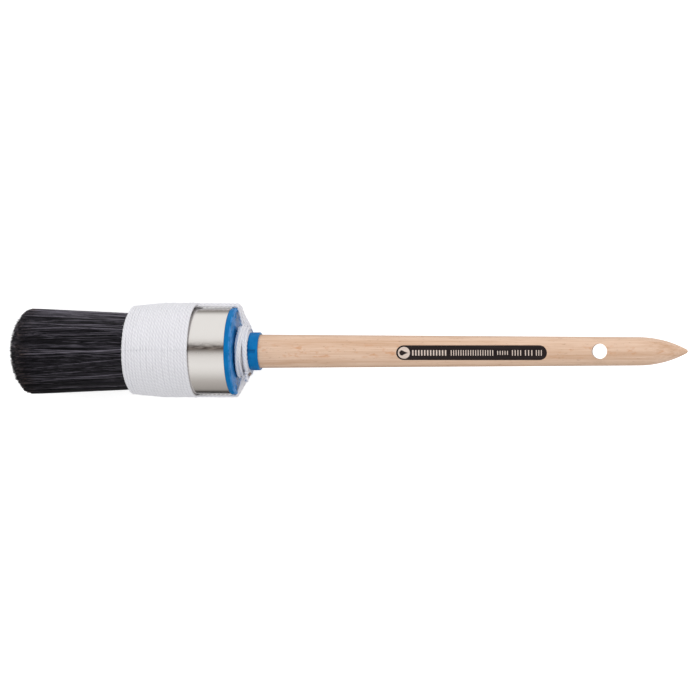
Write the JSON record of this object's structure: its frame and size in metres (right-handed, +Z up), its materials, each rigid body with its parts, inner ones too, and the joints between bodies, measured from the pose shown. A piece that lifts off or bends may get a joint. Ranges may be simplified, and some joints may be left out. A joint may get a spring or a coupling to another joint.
{
  "type": "round ring brush",
  "caption": "Round paint brush with cord-bound dark bristles, a steel ferrule, a blue plastic cap and a turned beech handle with a hanging hole.",
  "frame": {"origin": "middle of the brush's outline, on the surface that it lies on", "axes": "+X along the brush's axis, from the bristle tip to the handle's point; +Z up, along the hanging hole"},
  "size_m": [0.2744, 0.0386, 0.0387],
  "materials": {
    "bristle": "matte",
    "core_wood": "matte",
    "resin": "gloss",
    "plated_steel": "polished",
    "blue_plastic": "gloss",
    "beech": "satin",
    "cord": "matte"
  },
  "bodies": {
    "root": {"bristle_pack": "bristle", "core_plug": "core_wood", "setting_resin": "resin", "ferrule": "plated_steel", "end_cap": "blue_plastic", "handle": "beech", "binding_base_layer": "cord", "binding_outer_layer": "cord", "strap_left": "cord", "strap_right": "cord", "neck_lashing": "cord", "collar_lashing": "cord", "knot": "cord", "cord_tail": "cord"}
  },
  "joints": []
}
